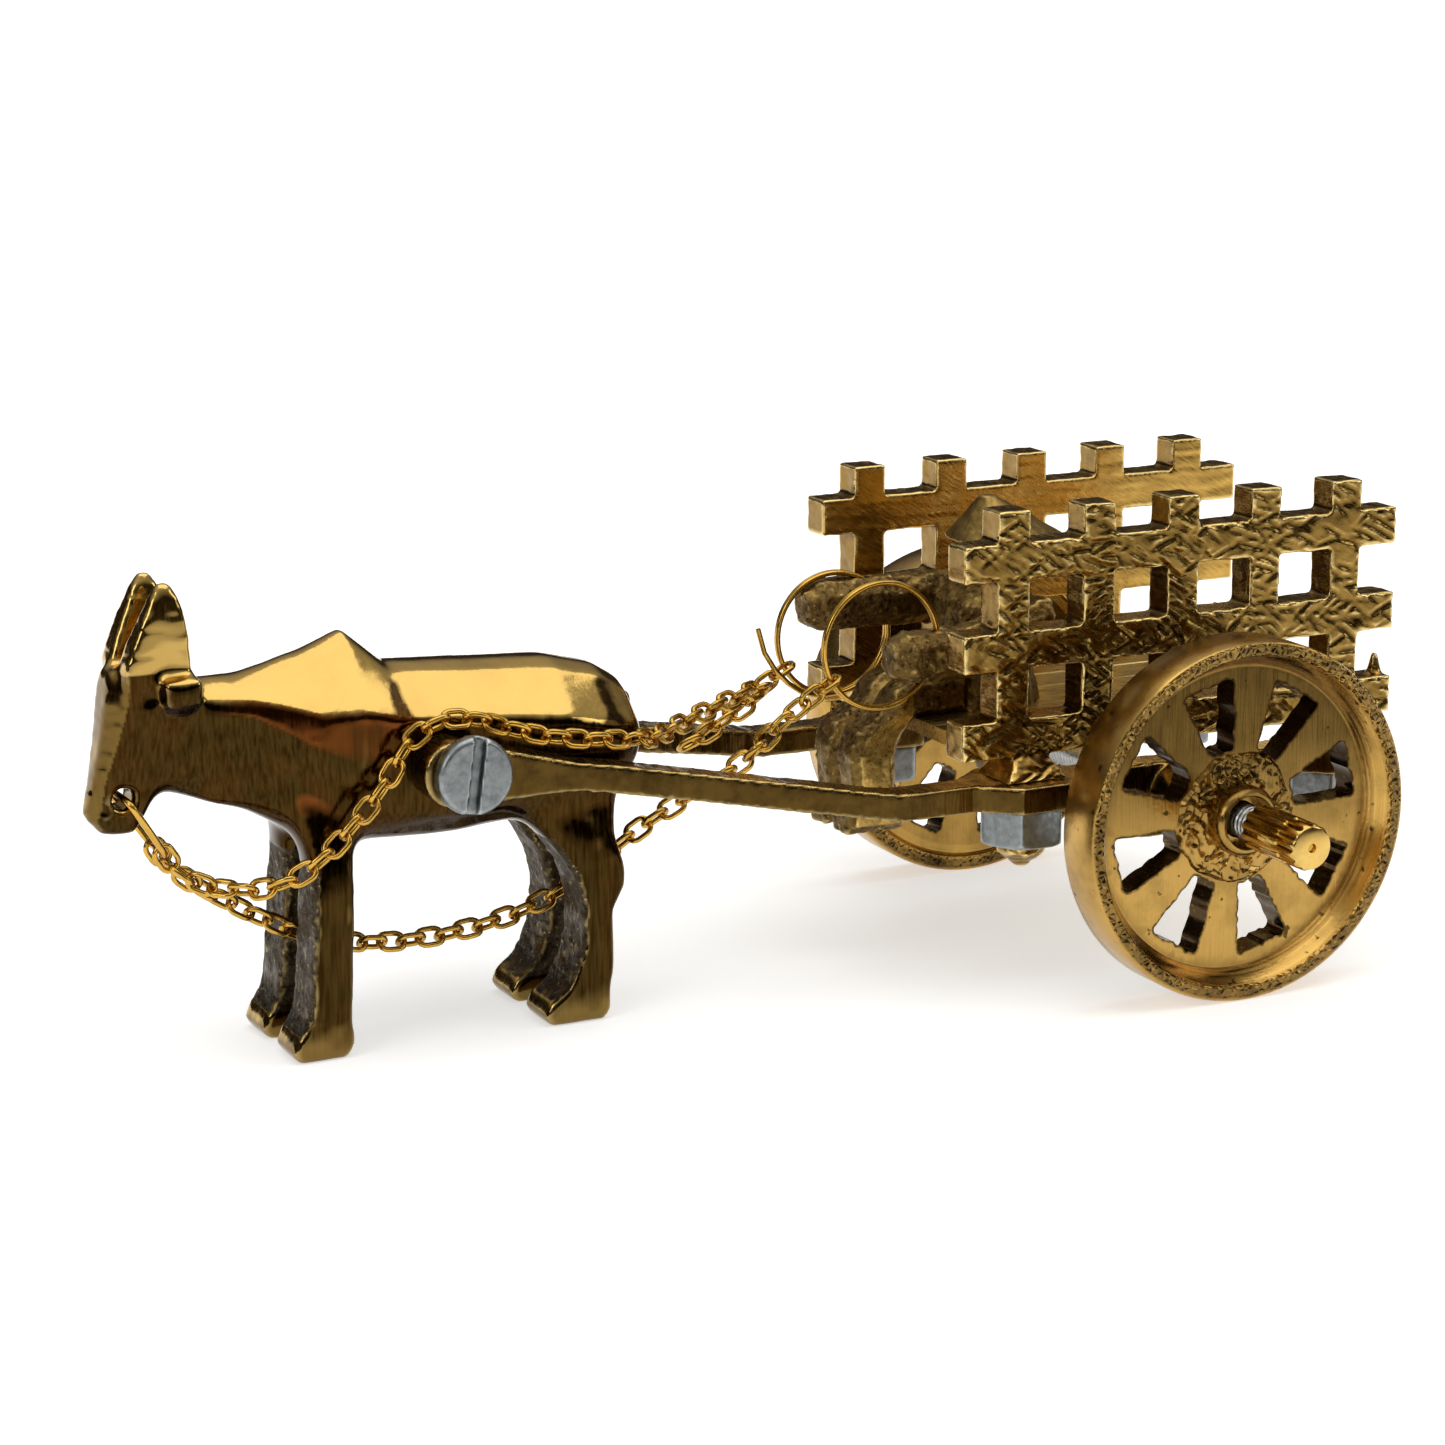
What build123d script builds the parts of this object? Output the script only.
from build123d import *
import os
from math import ceil, cos, radians, sin

# Cast brass table ornament of a bullock cart: bull, driver and two-wheeled cart.
# Millimetres, +X towards the bull's head, +Y to the bull's left, +Z up, ground at Z = 0.
# Lengths along X are measured from the axle until the finished pieces are centred.

# Wheels and axle
WHEEL_R = 29.6          # radius over the tread
WHEEL_W = 9.2           # width of the rim
WHEEL_IN_Y = 39.6       # inner face of a wheel from the middle of the cart
RIM_LIP = 2.4           # flat lip on the outer edge of the rim
RIM_SLOPE = 2.2         # the wall inside the rim leans in by this much
RIM_EDGE = 0.6          # bevel on both edges of the tread
WEB_T = 4.8             # plate that carries the windows
WINDOWS = 8
WINDOW_R_IN = 11.2
WINDOW_R_OUT = 22.6
WINDOW_W_IN = 4.4
WINDOW_W_OUT = 9.8
WINDOW_CORNER = 0.9
WINDOW_TURN = 15.0      # degrees from the top to the first window
FLANGE_R = 9.8          # chased flange round the hub
FLANGE_T = 0.8
COLLAR_R = 5.8          # raised collar round the bore
COLLAR_H = 3.4
MOUTH_R = 4.3           # wide mouth of the bore
MOUTH_DEPTH = 3.0
AXLE_D = 6.0
WHEEL_PLAY = 0.1        # between rod and bore, on the radius
CAP_D = 7.6             # fluted cap on each end of the rod
CAP_GAP = 3.4           # bare rod between the bore's shoulder and the cap
CAP_LEN = 16.8
CAP_WALL = 3.0          # closed end of the cap
FLUTES = 12
FLUTE_D = 1.0
FLUTE_LEN = 5.0         # flutes at each end, with a plain band between

# Shafts
SHAFT_W = 6.0
SHAFT_H = 4.6
SHAFT_ABOVE_AXLE = 3.4  # middle of the shaft over the axle's middle
SHAFT_TAIL = 10.0       # shaft behind its rear stud
SHAFT_BEND = 24.0       # radius of the bends
CART_RUN_X = 52.0       # ahead of the axle, where the shaft starts to climb and close in
SIDE_RUN = 16.0         # straight stretch along the bull behind the screw
CLIMB_RUN = 24.0        # last climb to the screw
ARCH_DROP = 3.4         # shaft's middle below the screw where that climb starts
EYE_R = 5.2             # half height of the shaft's rounded end
EYE_AHEAD = 7.4         # shaft's end ahead of the screw
SWELL_RUN = 18.0        # behind the screw, where the shaft starts to swell
PAD_L = 19.6            # eight-sided pad round each stud
PAD_W = 16.0
LUG_TOP = 20.0          # lug under the shaft that holds the axle
LUG_BOTTOM = 14.0
LUG_BELOW = 7.0         # lug's foot below the axle's middle
BOSS_R = 5.6            # round boss between the lug and the wheel
SIDE_PLAY = 0.4         # between boss and wheel

# Side panels
PANEL_Y = 24.2          # middle of a panel
PANEL_T = 6.0
POSTS = 5
POST_PITCH = 15.9
POST_W = 5.8
POST_MID_X = -0.3       # middle post, ahead of the axle
POST_HEAD = 5.2         # post above the top rail
RAIL_H = 6.2
RAIL_GAP = 8.2
RAILS = 3
RAIL_OVER_FRONT = 6.2   # rail beyond the outer post's edge
RAIL_OVER_REAR = 7.1
CAST_EDGE = 0.5         # worn edge on the castings
CORNER = 0.45           # share of an eight-sided block's side between its cut corners
STUD_D = 8.0
STUD_PITCH = 60.0
STUD_MID_X = -2.0       # middle between the two studs, ahead of the axle
STUD_OUT = 4.2          # stud below its nut, to the tip
STUD_POINT = 2.6
STUD_PLAY = 0.15
FOOT_H = 3.8            # tapered foot between rail and shaft
FOOT_TOP_W = 6.0
FOOT_LOW_W = 11.0
NUT_AF = 13.0
NUT_H = 6.3
NUT_BEVEL = 0.7
SPIKE_H = 3.4           # pin on the rear end of the bottom rail
SPIKE_R = 1.4

# Floor between the panels
FLOOR_T = 2.4
FLOOR_DOWN = 3.2        # top of the floor below the top of the bottom rail
FLOOR_INSET = 2.6       # floor's ends inside the rails' ends
BOARDS = 5
BOARD_GROOVE = 0.9

# Bull, placed from the screw through its flanks
SCREW_X = 121.8         # ahead of the axle
SCREW_Z = 44.7
SCREW_D = 5.0
SCREW_DEPTH = 8.0       # thread inside the bull
SCREW_PLAY = 0.2
SCREW_HEAD_D = 11.6
SCREW_HEAD_T = 2.6
SLOT_W = 1.8
SLOT_DEPTH = 1.4
FLANK = 12.3            # half width of the barrel
BELLY_Z = 32.6
BACK_Z = 58.4
FLANK_CUT_LOW = 4.8     # height of the facet between flank and belly
LEG_IN = 2.3            # inner side of a leg from the middle
LEG_W = 9.6
EAR_AHEAD = 41.7        # middle of an ear ahead of the screw
EAR_Z = 59.2
EAR_TIP_Y = 9.2         # from the middle
EAR_L = 6.3
EAR_H = 5.2
NOSE_HOLE_D = 3.6
NOSE_AHEAD = 50.0       # nose hole ahead of the screw
NOSE_Z = 43.0
TAIL_W = 2.6

# Wire and chain
LOOP_WIRE = 1.0
LOOP_W = 12.0           # outside the muzzle
LOOP_LEN = 11.0         # from the nose hole to its low end
LOOP_LOW_W = 6.4
LOOP_LEAN = 33.0        # degrees that the loop hangs back
LINK_L = 5.0
LINK_W = 3.5
LINK_WIRE = 0.72
LINK_SLACK = 0.14       # between the wires of two neighbours
REIN_PLAY = 1.0         # between a rein and what it lies along
TWIST = 45.0            # degrees that the links roll about the rein
TWIST_LINKS = 4         # links at each end over which they roll
RING_R = 10.3           # middle of the ring's wire
RING_WIRE = 1.8
RING_HOLE = 0.25        # room for the ring in the hand
SPRUNG_WIRE = 1.0       # the right ring's sprung end

# Driver
SEAT_X = 22.0           # middle of the hips, ahead of the axle
HIP_L = 19.0
HIP_W = 18.0
SHOULDER_L = 14.4
SHOULDER_W = 19.6
SHOULDER_UP = 17.6      # above the floor
NECK_UP = 21.2
LEAN_BACK = 1.5         # head behind the hips
HEAD_R = 5.0
HEAD_UP = 24.0
HAT_R = 10.4
HAT_UP = 27.4           # brim above the floor
HAT_H = 7.4
HAT_LEAN = 3.6          # hat's point ahead of the brim's middle
HAT_BACK = 4.6          # brim's middle behind the hips' middle
HAT_TIP_R = 1.2
HAND_Y = 12.2
ARM_W = 7.6
ARM_H = 8.4
FOREARM = 13.0          # elbow behind the knuckles
KNUCKLES = 3.0          # length of the rounded end of a fist
LEG_Y = 3.9             # the legs are cast close together
SHIN_W = 7.4
THIGH_ROOT = 6.0        # thigh's rear end inside the hips, ahead of their middle
THIGH_H = 6.9
LIMB_EDGE = 1.4         # bevel along the legs

# Places worked out from the sizes
AXLE_Z = WHEEL_R
SHAFT_Z = AXLE_Z + SHAFT_ABOVE_AXLE
SHAFT_TOP = SHAFT_Z + SHAFT_H / 2
SHAFT_LOW = SHAFT_Z - SHAFT_H / 2
RAIL_Z = SHAFT_TOP + FOOT_H
RAIL_PITCH = RAIL_H + RAIL_GAP
PANEL_TOP = RAIL_Z + (RAILS - 1) * RAIL_PITCH + RAIL_H
POST_SPAN = (POSTS - 1) * POST_PITCH / 2
RAIL_FRONT = POST_MID_X + POST_SPAN + POST_W / 2 + RAIL_OVER_FRONT
RAIL_REAR = POST_MID_X - POST_SPAN - POST_W / 2 - RAIL_OVER_REAR
STUD_FRONT = STUD_MID_X + STUD_PITCH / 2
STUD_REAR = STUD_MID_X - STUD_PITCH / 2
FLOOR_FRONT = RAIL_FRONT - FLOOR_INSET
FLOOR_Z = RAIL_Z + RAIL_H - FLOOR_DOWN
FLOOR_HALF = PANEL_Y - PANEL_T / 2
EYE_X = SCREW_X + EYE_AHEAD - EYE_R
EYE_Y = FLANK + SHAFT_W / 2
LINK_PITCH = LINK_L - 2 * LINK_WIRE - LINK_SLACK

# Level cuts through the bull's head. Height; then, ahead of the screw and half wide:
# the face's front, the cheek's front corner and the cheek's rear corner
HEAD_CUTS = [(37.2, 53.0, 0.9, 51.4, 2.4, 48.2, 2.4), (40.4, 55.6, 1.0, 53.0, 3.2, 46.2, 3.2),
             (46.0, 54.2, 1.6, 52.8, 3.9, 42.6, 4.4), (52.0, 53.0, 2.4, 50.8, 5.2, 40.2, 5.0),
             (57.6, 52.2, 2.8, 49.2, 6.2, 39.0, 5.4), (61.0, 51.6, 2.8, 49.2, 5.8, 38.8, 4.8),
             (62.6, 51.0, 2.0, 48.8, 4.4, 40.0, 3.6)]
# Level cuts through a horn: height, rear and front ahead of the screw, inner and outer side
HORN_CUTS = [(57.0, 39.6, 49.6, 1.4, 6.0), (63.0, 39.5, 50.0, 1.4, 6.5), (67.0, 39.8, 48.6, 2.0, 6.7),
             (71.0, 40.3, 46.8, 2.7, 6.5), (74.0, 41.3, 45.4, 3.3, 6.1), (76.0, 42.5, 44.2, 3.9, 5.3)]
MUZZLE_X = SCREW_X + max(cut[1] for cut in HEAD_CUTS)
NOSE_X = SCREW_X + NOSE_AHEAD
MIDDLE_X = (RAIL_REAR + MUZZLE_X) / 2


def place(piece):
    """Move a piece from the axle's X to the middle of the whole ornament."""
    return Pos(-MIDDLE_X, 0, 0) * piece


def opposite(piece):
    """The same piece on the other side of the cart."""
    return mirror(piece, about=Plane.XZ)


def side_profile(points, width, middle_y):
    """A closed outline in side view, as thick as width about middle_y."""
    outline = Plane.XZ * make_face(Polyline(*points, close=True))
    return Pos(0, middle_y, 0) * extrude(outline, amount=width / 2, both=True)


def octagon(length, breadth):
    """An eight-sided face about the origin."""
    half_l = length / 2
    half_b = breadth / 2
    quarter = [(half_l, half_b * CORNER), (half_l * CORNER, half_b)]
    upper = quarter + [(-x, y) for x, y in reversed(quarter)]
    return make_face(Polyline(*upper, *[(-x, -y) for x, y in upper], close=True))


def ring_bar(outer, inner, thickness):
    """A flat closed loop between two outlines, centred on its plane."""
    face = make_face(Polyline(*outer, close=True)) - make_face(Polyline(*inner, close=True))
    return extrude(face, amount=thickness / 2, both=True)


# Bull
def barrel():
    """Neck, hump, barrel and rump as one ruled casting."""
    # ahead of screw, low, high, half width, half width of the back, its crown, facet heights: top, low,
    # share of the side's height below its crease, how far the side is tucked in there
    sections = [(-33.9, 41.0, 49.6, 7.0, 3.4, 0.8, 3.4, 3.0, 0.5, 0),
                (-32.2, 37.6, 53.2, FLANK - 2.7, 4.6, 1.2, 6.0, 4.0, 0.5, 0),
                (-28.0, 35.0, BACK_Z - 2.5, FLANK - 0.9, 5.0, 1.3, 8.0, FLANK_CUT_LOW, 0.4, 0),
                (-20.0, BELLY_Z + 1.0, BACK_Z - 0.4, FLANK, 5.2, 1.4, 8.0, FLANK_CUT_LOW, 0.3, 0),
                (-4.0, BELLY_Z, BACK_Z + 0.6, FLANK, 5.0, 1.2, 7.0, FLANK_CUT_LOW, 0.2, 0),
                (7.4, BELLY_Z, BACK_Z + 1.2, FLANK, 4.6, 1.0, 6.8, FLANK_CUT_LOW, 0.1, 0),
                (13.8, BELLY_Z, 65.2, FLANK - 0.6, 2.6, 1.0, 11.0, FLANK_CUT_LOW, 0.3, 1.0),
                (20.2, 33.4, 62.7, FLANK - 1.6, 2.8, 0.8, 8.8, 5.0, 0.55, 2.4),
                (25.9, 36.0, 61.1, 9.0, 2.8, 0.8, 5.0, 5.0, 0.7, 2.8),
                (30.8, 39.0, 59.9, 7.4, 2.8, 0.6, 2.6, 5.0, 0.8, 2.4),
                (45.0, 43.4, 60.0, 4.0, 2.4, 0.6, 2.0, 4.0, 0.8, 0.4)]
    rings = []
    for ahead, low, high, half, top, crown, cut_top, cut_low, crease, tuck in sections:
        belly = half * 0.55
        side_low = low + cut_low
        side_high = high - cut_top
        left = [(half - tuck, side_low), (half, side_low + crease * (side_high - side_low)),
                (half - tuck / 4, side_high), (top, high - crown), (top * 0.35, high)]
        corners = left + [(-y, z) for y, z in reversed(left)] + [(-belly, low), (belly, low)]
        plane = Plane(origin=(SCREW_X + ahead, 0, 0), x_dir=(0, 1, 0), z_dir=(1, 0, 0))
        rings.append(plane * make_face(Polyline(*corners, close=True)))
    return loft(rings, ruled=True)


def level_loft(cuts):
    """A ruled casting through level outlines: height and corners, ahead of the screw and across."""
    faces = []
    for height, corners in cuts:
        points = [(SCREW_X + ahead, across) for ahead, across in corners]
        faces.append(Pos(0, 0, height) * make_face(Polyline(*points, close=True)))
    return loft(faces, ruled=True)


def bull_head():
    """Wedge-shaped head with a bored muzzle, ears and blade horns."""
    cuts = []
    for height, front, front_half, cheek, cheek_half, rear, rear_half in HEAD_CUTS:
        left = [(front, front_half), (cheek, cheek_half), (rear, rear_half)]
        cuts.append((height, left + [(ahead, -half) for ahead, half in reversed(left)]))
    head = level_loft(cuts)
    head -= Pos(NOSE_X, 0, NOSE_Z) * Rot(90, 0, 0) * Cylinder(NOSE_HOLE_D / 2, 4 * EAR_TIP_Y)
    ear = Pos(SCREW_X + EAR_AHEAD, 0, EAR_Z) * Box(
        EAR_L, 2 * EAR_TIP_Y, EAR_H, align=(Align.CENTER, Align.CENTER, Align.CENTER))
    head += chamfer(ear.edges().filter_by(Axis.Y), CAST_EDGE)
    horn = level_loft([(height, [(rear, inner), (front, inner), (front, outer), (rear, outer)])
                       for height, rear, front, inner, outer in HORN_CUTS])
    head += horn
    head += opposite(horn)
    return head


def bull():
    # side views of a leg with its hoof and of the tail: ahead of the screw, above the ground
    front_leg = [(12.4, 40.0), (15.6, 33.0), (16.6, 24.0), (17.0, 14.0), (17.4, 6.0), (17.0, 2.6), (18.2, 0),
                 (26.2, 0), (27.2, 1.6), (26.4, 3.8), (24.6, 6.2), (24.0, 10.0), (23.2, 20.0), (23.0, 31.0),
                 (25.0, 38.0), (25.0, 44.0)]
    hind_leg = [(-32.4, 44.0), (-29.0, 36.0), (-27.8, 30.0), (-29.2, 24.6), (-29.0, 21.8), (-26.8, 18.0),
                (-27.0, 9.0), (-26.2, 4.6), (-26.4, 2.0), (-25.4, 0), (-16.0, 0), (-14.9, 1.6), (-15.8, 3.8),
                (-18.8, 6.0), (-20.6, 9.4), (-21.8, 14.0), (-21.9, 19.0), (-20.6, 24.0), (-17.6, 28.6),
                (-14.0, 32.6), (-12.0, 37.0), (-12.0, 42.0)]
    # front view of a leg, from the middle and above the ground: it leans in under the shoulder and rump
    leg_out = LEG_IN + LEG_W
    front_view = [(LEG_IN, 0), (leg_out - 0.6, 0), (leg_out, 1.2), (leg_out, 27.0), (leg_out - 0.8, 33.0),
                  (leg_out - 3.4, 41.0), (leg_out - 5.0, 46.0), (LEG_IN, 46.0)]
    tail = [(-32.6, 51.6), (-35.0, 50.4), (-35.6, 45.0), (-34.6, 38.0), (-33.4, 34.0), (-32.0, 34.6),
            (-31.6, 42.0)]
    body = barrel() + bull_head()
    for outline in (front_leg, hind_leg):
        points = [(SCREW_X + ahead, up) for ahead, up in outline]
        rear_end = Plane(origin=(min(points)[0], 0, 0), x_dir=(0, 1, 0), z_dir=(1, 0, 0))
        lean = extrude(rear_end * make_face(Polyline(*front_view, close=True)),
                       amount=max(points)[0] - min(points)[0])
        leg = side_profile(points, LEG_W, LEG_IN + LEG_W / 2) & lean
        body = body + leg + opposite(leg)
    body += side_profile([(SCREW_X + ahead, up) for ahead, up in tail], TAIL_W, 0)
    hole = Pos(SCREW_X, FLANK - SCREW_DEPTH, SCREW_Z) * Rot(-90, 0, 0) * Cylinder(
        SCREW_D / 2 + SCREW_PLAY / 2, 2 * SCREW_DEPTH, align=(Align.CENTER, Align.CENTER, Align.MIN))
    return body - hole - opposite(hole)


def screw():
    """Slotted steel screw through the shaft's eye into the bull's left flank."""
    length = SHAFT_W + SCREW_DEPTH - 1.0
    seat = Plane(origin=(SCREW_X, FLANK + SHAFT_W, SCREW_Z), x_dir=(1, 0, 0), z_dir=(0, 1, 0))
    head = Cylinder(SCREW_HEAD_D / 2, SCREW_HEAD_T, align=(Align.CENTER, Align.CENTER, Align.MIN))
    head = chamfer(head.edges().group_by(Axis.Z)[-1], CAST_EDGE)
    slot = Pos(0, 0, SCREW_HEAD_T - SLOT_DEPTH) * Rot(0, 0, 82) * Box(
        SCREW_HEAD_D + 1, SLOT_W, SLOT_DEPTH * 2, align=(Align.CENTER, Align.CENTER, Align.MIN))
    shank = Cylinder(SCREW_D / 2, length, align=(Align.CENTER, Align.CENTER, Align.MAX))
    return seat * (head - slot + shank)


# Shafts
def bent_strip(points, breadth):
    """Outline of a bar that follows points, breadth wide across, with rounded bends."""
    up = FilletPolyline(*[(along, across + breadth / 2) for along, across in points], radius=SHAFT_BEND)
    down = FilletPolyline(*[(along, across - breadth / 2) for along, across in points], radius=SHAFT_BEND)
    return make_face([up, down, Line(up @ 0, down @ 0), Line(up @ 1, down @ 1)])


def shaft():
    """Left shaft: eye at the bull, double bend, pads round the studs and the axle's lug."""
    rear = STUD_REAR - SHAFT_TAIL
    straight = SCREW_X - SIDE_RUN
    arch_z = SCREW_Z - ARCH_DROP
    plan = [(rear, PANEL_Y), (CART_RUN_X, PANEL_Y), (straight, EYE_Y), (SCREW_X, EYE_Y)]
    side = [(rear, SHAFT_Z), (CART_RUN_X, SHAFT_Z), (SCREW_X - CLIMB_RUN, arch_z), (SCREW_X, SCREW_Z)]
    bar = extrude(bent_strip(plan, SHAFT_W), amount=2 * SCREW_Z)
    bar &= Plane.XZ * extrude(bent_strip(side, SHAFT_H), amount=-2 * PANEL_Y)
    swell_x = SCREW_X - SWELL_RUN
    swell_z = SCREW_Z - ARCH_DROP * SWELL_RUN / CLIMB_RUN
    swell = [(swell_x, swell_z - SHAFT_H / 2), (EYE_X, SCREW_Z - EYE_R),
             (EYE_X, SCREW_Z + EYE_R), (swell_x, swell_z + SHAFT_H / 2)]
    bar += side_profile(swell, SHAFT_W, EYE_Y)
    bar += Pos(EYE_X, EYE_Y, SCREW_Z) * Rot(90, 0, 0) * Cylinder(EYE_R, SHAFT_W)
    pad = extrude(octagon(PAD_L, PAD_W), amount=SHAFT_H / 2, both=True)
    for stud_x in (STUD_FRONT, STUD_REAR):
        bar += Pos(stud_x, PANEL_Y, SHAFT_Z) * pad
    lug = [(-LUG_TOP / 2, SHAFT_Z), (LUG_TOP / 2, SHAFT_Z),
           (LUG_BOTTOM / 2, AXLE_Z - LUG_BELOW), (-LUG_BOTTOM / 2, AXLE_Z - LUG_BELOW)]
    bar += side_profile(lug, SHAFT_W, PANEL_Y)
    boss_end = WHEEL_IN_Y - SIDE_PLAY
    bar += Pos(0, PANEL_Y, AXLE_Z) * Rot(-90, 0, 0) * Cylinder(
        BOSS_R, boss_end - PANEL_Y, align=(Align.CENTER, Align.CENTER, Align.MIN))
    for stud_x in (STUD_FRONT, STUD_REAR):
        bar -= Pos(stud_x, PANEL_Y, SHAFT_Z) * Cylinder(STUD_D / 2 + STUD_PLAY, 2 * SHAFT_H)
    bar -= Pos(0, WHEEL_IN_Y, AXLE_Z) * Rot(90, 0, 0) * Cylinder(
        AXLE_D / 2 + WHEEL_PLAY, WHEEL_IN_Y, align=(Align.CENTER, Align.CENTER, Align.MIN))
    bar -= Pos(SCREW_X, EYE_Y, SCREW_Z) * Rot(90, 0, 0) * Cylinder(
        SCREW_D / 2 + SCREW_PLAY / 2, 2 * SHAFT_W)
    return bar


# Cart body
def panel():
    """Left side panel: posts, rails, tapered feet, pointed studs and the rear pin."""
    rail_l = RAIL_FRONT - RAIL_REAR
    lattice = Part()
    for row in range(RAILS):
        lattice += Pos(RAIL_REAR, PANEL_Y, RAIL_Z + row * RAIL_PITCH) * Box(
            rail_l, PANEL_T, RAIL_H, align=(Align.MIN, Align.CENTER, Align.MIN))
    for column in range(POSTS):
        post_x = POST_MID_X + POST_SPAN - column * POST_PITCH
        lattice += Pos(post_x, PANEL_Y, RAIL_Z) * Box(
            POST_W, PANEL_T, PANEL_TOP + POST_HEAD - RAIL_Z, align=(Align.CENTER, Align.CENTER, Align.MIN))
    stud_low = SHAFT_LOW - NUT_H - STUD_OUT
    for stud_x in (STUD_FRONT, STUD_REAR):
        lattice += loft([Pos(stud_x, PANEL_Y, SHAFT_TOP) * Rectangle(FOOT_LOW_W, FOOT_LOW_W),
                         Pos(stud_x, PANEL_Y, RAIL_Z) * Rectangle(FOOT_TOP_W, PANEL_T)], ruled=True)
        stud = Cylinder(STUD_D / 2, SHAFT_TOP - stud_low - STUD_POINT,
                        align=(Align.CENTER, Align.CENTER, Align.MIN))
        stud += Cone(STUD_D / 8, STUD_D / 2, STUD_POINT, align=(Align.CENTER, Align.CENTER, Align.MAX))
        lattice += Pos(stud_x, PANEL_Y, stud_low + STUD_POINT) * stud
    pin = Cone(SPIKE_R, SPIKE_R / 3, SPIKE_H, align=(Align.CENTER, Align.CENTER, Align.MIN))
    return lattice + Pos(RAIL_REAR + SPIKE_R, PANEL_Y, RAIL_Z + RAIL_H) * pin


def nut(stud_x):
    """Steel hexagon nut under the left shaft's pad."""
    hexagon = extrude(RegularPolygon(NUT_AF / 2, 6, major_radius=False), amount=-NUT_H)
    corner_r = NUT_AF / 2 / cos(radians(30))
    turned = Cylinder(corner_r, NUT_H, align=(Align.CENTER, Align.CENTER, Align.MAX))
    turned = chamfer(turned.edges().group_by(Axis.Z)[0], NUT_BEVEL)
    body = (hexagon & turned) - Cylinder(STUD_D / 2 + STUD_PLAY, 3 * NUT_H)
    return Pos(stud_x, PANEL_Y, SHAFT_LOW) * body


def floor():
    """Boarded floor plate between the panels, with V grooves between the boards."""
    length = RAIL_FRONT - RAIL_REAR - 2 * FLOOR_INSET
    board = 2 * FLOOR_HALF / BOARDS
    outline = [(-FLOOR_HALF, -FLOOR_T), (FLOOR_HALF, -FLOOR_T), (FLOOR_HALF, 0)]
    for count in range(BOARDS - 1, 0, -1):
        seam = -FLOOR_HALF + count * board
        outline += [(seam + BOARD_GROOVE / 2, 0), (seam, -BOARD_GROOVE), (seam - BOARD_GROOVE / 2, 0)]
    outline.append((-FLOOR_HALF, 0))
    end = Plane(origin=(RAIL_REAR + FLOOR_INSET, 0, FLOOR_Z), x_dir=(0, 1, 0), z_dir=(1, 0, 0))
    return extrude(end * make_face(Polyline(*outline, close=True)), amount=length)


# Wheels
def wheel():
    """Left wheel, turned about the rod, with sawn windows in its web."""
    web_r = WHEEL_R - RIM_LIP - RIM_SLOPE
    hub_face = WEB_T + FLANGE_T + COLLAR_H
    bore = AXLE_D / 2 + WHEEL_PLAY
    profile = [(bore, 0), (WHEEL_R - RIM_EDGE, 0), (WHEEL_R, RIM_EDGE), (WHEEL_R, WHEEL_W - RIM_EDGE),
               (WHEEL_R - RIM_EDGE, WHEEL_W), (WHEEL_R - RIM_LIP, WHEEL_W), (web_r, WEB_T),
               (FLANGE_R, WEB_T), (FLANGE_R - FLANGE_T, WEB_T + FLANGE_T), (COLLAR_R, WEB_T + FLANGE_T),
               (COLLAR_R - CAST_EDGE, hub_face), (MOUTH_R, hub_face), (MOUTH_R, hub_face - MOUTH_DEPTH),
               (bore, hub_face - MOUTH_DEPTH)]
    disc = revolve(Plane.XZ * make_face(Polyline(*profile, close=True)), axis=Axis.Z)
    corners = [(-WINDOW_W_IN / 2, WINDOW_R_IN), (WINDOW_W_IN / 2, WINDOW_R_IN),
               (WINDOW_W_OUT / 2, WINDOW_R_OUT), (-WINDOW_W_OUT / 2, WINDOW_R_OUT)]
    window = make_face(Polyline(*corners, close=True))
    window = extrude(fillet(window.vertices(), WINDOW_CORNER), amount=WEB_T)
    for count in range(WINDOWS):
        disc -= Rot(0, 0, WINDOW_TURN + count * 360 / WINDOWS) * window
    seat = Plane(origin=(0, WHEEL_IN_Y, AXLE_Z), x_dir=(-1, 0, 0), z_dir=(0, 1, 0))
    return seat * disc


CAP_Y = WHEEL_IN_Y + WEB_T + FLANGE_T + COLLAR_H - MOUTH_DEPTH + CAP_GAP


def axle():
    """Rod through both lugs and wheels, screwed into the caps."""
    half = CAP_Y + CAP_LEN - CAP_WALL
    return Pos(0, 0, AXLE_Z) * Rot(90, 0, 0) * Cylinder(AXLE_D / 2, 2 * half)


def cap():
    """Left fluted cap on the rod's end."""
    body = Cylinder(CAP_D / 2, CAP_LEN, align=(Align.CENTER, Align.CENTER, Align.MIN))
    body -= Cylinder(AXLE_D / 2, CAP_LEN - CAP_WALL, align=(Align.CENTER, Align.CENTER, Align.MIN))
    groove = Cylinder(FLUTE_D / 2, FLUTE_LEN, align=(Align.CENTER, Align.CENTER, Align.MIN))
    for low in (0, CAP_LEN - FLUTE_LEN):
        body -= PolarLocations(CAP_D / 2 + FLUTE_D / 4, FLUTES) * (Pos(0, 0, low) * groove)
    seat = Plane(origin=(0, CAP_Y, AXLE_Z), x_dir=(-1, 0, 0), z_dir=(0, 1, 0))
    return seat * body


# Driver
def ring_wire(section):
    """A wire ring of RING_R in the side view's plane, with a six-sided wire."""
    wire = Plane.XZ * (Pos(RING_R, 0) * RegularPolygon(section / 2, 6))
    return Rot(90, 0, 0) * revolve(wire, axis=Axis.Z)


# side, hand's front end ahead of the hips' middle, hand's middle above the floor,
# ring's middle ahead of the hips' middle, ring's middle above the floor
HANDS = [(1, 24.2, 11.6, 25.6, 14.2), (-1, 27.4, 16.2, 21.4, 11.2)]
# the right ring's sprung end: degrees above its front, from its middle, across
SPRUNG_END = [(-95, RING_R, 0.2), (-70, RING_R + 0.4, 1.4), (-45, RING_R + 1.3, 2.9),
              (-20, RING_R + 3.0, 3.4), (10, RING_R + 5.7, 3.2)]
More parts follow.
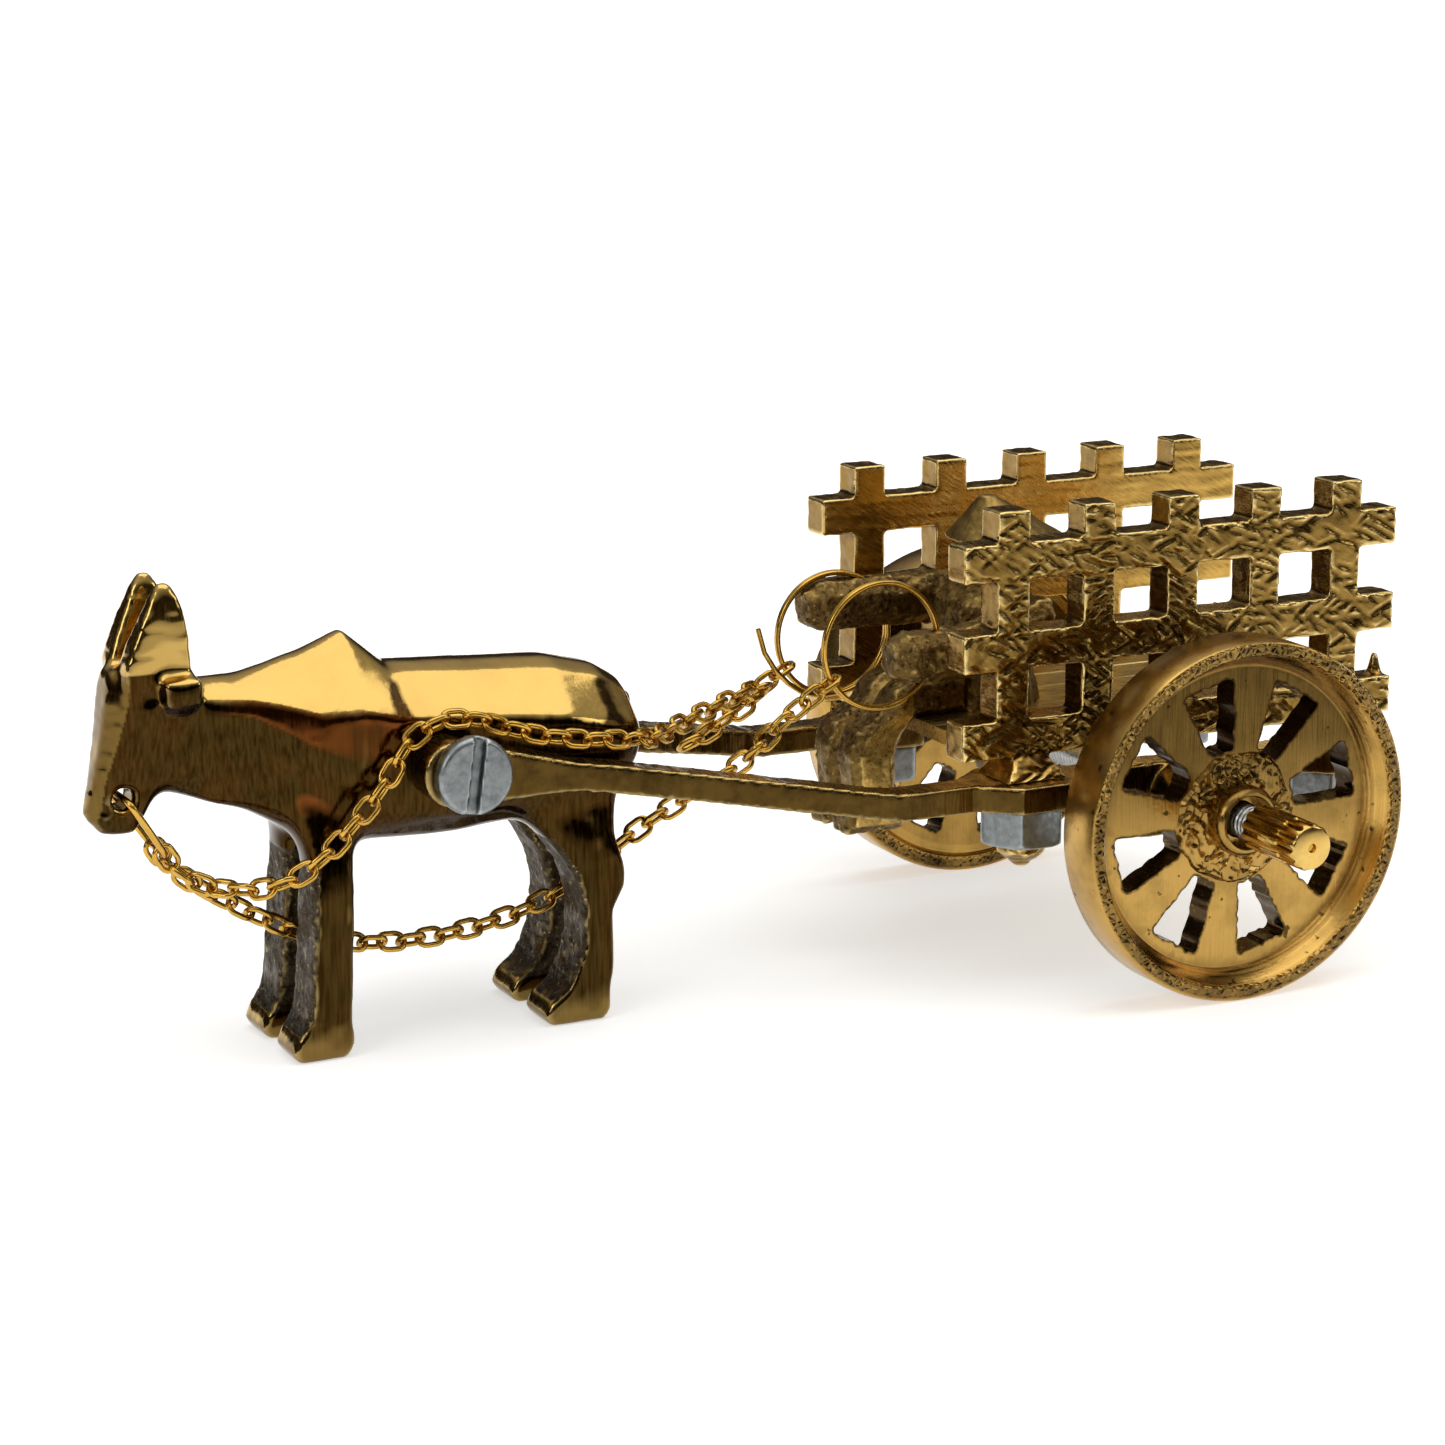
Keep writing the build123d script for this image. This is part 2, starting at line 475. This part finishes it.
# a leg over the floor's front edge in side view, ahead of that edge and above the floor
DRIVER_LEG = [(0.2, 0), (2.2, -2.1), (3.6, -6.1), (3.0, -14.1), (1.4, -18.5), (12.6, -18.5), (12.6, -15.4),
              (11.2, -12.1), (12.0, -5.0), (11.2, -0.6), (9.0, 3.2), (5.0, 5.9), (0, THIGH_H)]


def ring(hand):
    """Wire ring held in a hand."""
    side, hand_x, hand_up, ring_x, ring_up = hand
    return Pos(SEAT_X + ring_x, side * HAND_Y, FLOOR_Z + ring_up) * ring_wire(RING_WIRE)


def sprung_end(hand):
    """End of a ring's wire that has sprung away from it."""
    side, hand_x, hand_up, ring_x, ring_up = hand
    path = Spline(*[(out * cos(radians(angle)), across, out * sin(radians(angle)))
                    for angle, out, across in SPRUNG_END])
    wire = Plane(origin=path @ 0, z_dir=path % 0) * RegularPolygon(SPRUNG_WIRE / 2, 6)
    return Pos(SEAT_X + ring_x, side * HAND_Y, FLOOR_Z + ring_up) * sweep(wire, path)


def arm(hand):
    """An arm of eight-sided cuts, from the shoulder along to the blunt fist."""
    side, hand_x, hand_up, ring_x, ring_up = hand
    tip = SEAT_X + hand_x
    # ahead, above the floor, share of the arm's size
    cuts = [(SEAT_X - SHOULDER_L / 3, SHOULDER_UP - ARM_H / 4, 1.0), (tip - FOREARM, hand_up, 1.0),
            (tip - KNUCKLES, hand_up, 1.0), (tip, hand_up, 0.6)]
    faces = []
    for ahead, up, share in cuts:
        plane = Plane(origin=(ahead, side * HAND_Y, FLOOR_Z + up), x_dir=(0, 1, 0), z_dir=(1, 0, 0))
        faces.append(plane * octagon(share * ARM_W, share * ARM_H))
    return loft(faces, ruled=True)


def driver():
    """Seated figure with a cone hat, arms forward and legs over the floor's front edge."""
    # above the floor, behind the hips' middle, length, breadth
    trunk = [(0, 0, HIP_L, HIP_W), (SHOULDER_UP / 2, 0.4, SHOULDER_L, 0.9 * HIP_W),
             (SHOULDER_UP, 1.0, SHOULDER_L, SHOULDER_W), (NECK_UP, LEAN_BACK, SHOULDER_L / 2, SHOULDER_W / 2)]
    figure = loft([Pos(SEAT_X - back, 0, FLOOR_Z + up) * octagon(length, breadth)
                   for up, back, length, breadth in trunk], ruled=True)
    figure += Pos(SEAT_X - LEAN_BACK, 0, FLOOR_Z + HEAD_UP) * Sphere(HEAD_R)
    brim = Pos(SEAT_X - HAT_BACK, 0, FLOOR_Z + HAT_UP)
    figure += loft([brim * Circle(HAT_R), brim * Pos(HAT_LEAN, 0, HAT_H) * Circle(HAT_TIP_R)])
    for hand in HANDS:
        side, hand_x, hand_up, ring_x, ring_up = hand
        figure += arm(hand)
        hole = ring_wire(RING_WIRE + 2 * RING_HOLE)
        figure -= Pos(SEAT_X + ring_x, side * HAND_Y, FLOOR_Z + ring_up) * hole
    outline = [(FLOOR_FRONT + ahead, FLOOR_Z + up) for ahead, up in DRIVER_LEG]
    thigh_x = SEAT_X + THIGH_ROOT
    outline += [(thigh_x, FLOOR_Z + THIGH_H), (thigh_x, FLOOR_Z)]
    leg = side_profile(outline, SHIN_W, LEG_Y)
    leg = chamfer(leg.faces().filter_by(Axis.Y).edges(), LIMB_EDGE)
    return figure + leg + opposite(leg)


# Nose loop and rein chains
LOOP_DIR = Vector(-sin(radians(LOOP_LEAN)), 0, -cos(radians(LOOP_LEAN)))
LOOP_END = Vector(NOSE_X, 0, NOSE_Z) + LOOP_DIR * LOOP_LEN


def nose_loop():
    """Bent wire through the nose hole, narrowing to a bar that carries the reins."""
    inner = [(-LOOP_W / 2, LOOP_WIRE / 2), (LOOP_W / 2, LOOP_WIRE / 2),
             (LOOP_LOW_W / 2, LOOP_LEN - LOOP_WIRE / 2), (-LOOP_LOW_W / 2, LOOP_LEN - LOOP_WIRE / 2)]
    outer = [(-LOOP_W / 2 - LOOP_WIRE, -LOOP_WIRE / 2), (LOOP_W / 2 + LOOP_WIRE, -LOOP_WIRE / 2),
             (LOOP_LOW_W / 2 + LOOP_WIRE, LOOP_LEN + LOOP_WIRE / 2),
             (-LOOP_LOW_W / 2 - LOOP_WIRE, LOOP_LEN + LOOP_WIRE / 2)]
    hang = Vector(0, 1, 0).cross(LOOP_DIR)
    plane = Plane(origin=(NOSE_X, 0, NOSE_Z), x_dir=(0, 1, 0), z_dir=hang)
    return plane * ring_bar(outer, inner, LOOP_WIRE)


def link():
    """One oval link, lying flat with its length along X."""
    def oval(length, width):
        flat = (length - width) / 2
        slant = width / 2 * 0.45
        quarter = [(flat + width / 2, slant), (flat + slant, width / 2)]
        right = quarter + [(-x, y) for x, y in reversed(quarter)]
        return right + [(-x, -y) for x, y in right]
    return ring_bar(oval(LINK_L, LINK_W), oval(LINK_L - 2 * LINK_WIRE, LINK_W - 2 * LINK_WIRE), LINK_WIRE)


def rein(route, first_way, last_way):
    """Interlocked links along a route, every second one turned a quarter and all rolled between the ends."""
    path = Spline(*route, tangents=(first_way, last_way))
    pairs = ceil((path.length / LINK_PITCH + 1) / 2)
    count = 2 * pairs
    piece = link()
    links = []
    for number in range(count):
        share = number / (count - 1)
        way = path % share
        across = (Vector(0, 1, 0) - way * way.Y).normalized()
        roll = TWIST * min(1, number / TWIST_LINKS, (count - 1 - number) / TWIST_LINKS)
        turn = radians(roll + 90 * (number % 2))
        normal = across * cos(turn) + way.cross(across) * sin(turn)
        links.append(Plane(origin=path @ share, x_dir=way, z_dir=normal) * piece)
    return Compound(links)


LINK_REACH = LINK_L / 2 - LINK_WIRE - LINK_SLACK


def rein_start(side):
    """Middle of the first link, hung on the loop's low bar."""
    return LOOP_END + Vector(0, side * LOOP_LOW_W / 3, 0) + LOOP_DIR * (LINK_REACH - LOOP_WIRE / 2)


def rein_end(hand, angle):
    """Middle of the last link and its way in, on a ring at an angle above its front."""
    side, hand_x, hand_up, ring_x, ring_up = hand
    out = Vector(cos(radians(angle)), 0, sin(radians(angle)))
    middle = Vector(SEAT_X + ring_x, side * HAND_Y, FLOOR_Z + ring_up)
    return middle + out * (RING_R + LINK_REACH - RING_WIRE / 2), -out


def low_rein():
    """From the nose between the legs, under the belly and up to the left hand's ring."""
    end, way_in = rein_end(HANDS[0], -30)
    route = [rein_start(-1), (SCREW_X + 33.5, -1.0, 24.2), (SCREW_X + 20.0, 0, 17.0),
             (SCREW_X - 3.0, 0, 14.2), (SCREW_X - 22.0, 0, 18.6), (SCREW_X - 37.0, 2.0, 28.6),
             (SCREW_X - 52.0, 8.0, 39.0), end]
    return rein(route, LOOP_DIR, way_in)


def high_rein():
    """From the nose past the neck, over the left eye and shaft, across to the right hand's ring."""
    end, way_in = rein_end(HANDS[1], -30)
    room = LINK_W / 2 + REIN_PLAY
    round_eye = EYE_R + room
    on_shaft = SCREW_Z - ARCH_DROP + SHAFT_H / 2 + room
    beside = FLANK + room
    beside_leg = LEG_IN + LEG_W + room
    route = [rein_start(1), (SCREW_X + 34.0, 7.4, 28.0), (SCREW_X + 29.0, beside_leg - 2.2, 29.4),
             (SCREW_X + 23.5, beside_leg, 32.8), (SCREW_X + 19.0, beside, 37.0),
             (SCREW_X + 12.0, beside, 44.8),
             (EYE_X + 0.65 * round_eye, beside, SCREW_Z + 0.76 * round_eye),
             (EYE_X, beside, SCREW_Z + round_eye),
             (SCREW_X - 10.0, beside, on_shaft + 3.2), (SCREW_X - 29.0, beside, on_shaft),
             (SCREW_X - 46.0, 2.0, 45.4), (SCREW_X - 60.0, -11.0, 42.0), end]
    return rein(route, LOOP_DIR, way_in)


def make_pieces():
    """Every node by name."""
    pieces = {"bull": bull(), "driver": driver(), "floor": floor(), "axle": axle(),
              "nose_loop": nose_loop(), "rein_low": low_rein(), "rein_high": high_rein(),
              "ring_left": ring(HANDS[0]), "ring_right": ring(HANDS[1]) + sprung_end(HANDS[1])}
    paired = {"shaft": shaft(), "screw": screw(), "panel": panel(), "nut_front": nut(STUD_FRONT),
              "nut_rear": nut(STUD_REAR), "wheel": wheel(), "cap": cap()}
    for name, piece in paired.items():
        pieces[name + "_left"] = piece
        pieces[name + "_right"] = opposite(piece)
    return pieces


def main():
    os.makedirs("parts", exist_ok=True)
    for name, piece in make_pieces().items():
        export_step(place(piece), f"parts/{name}.step")


main()
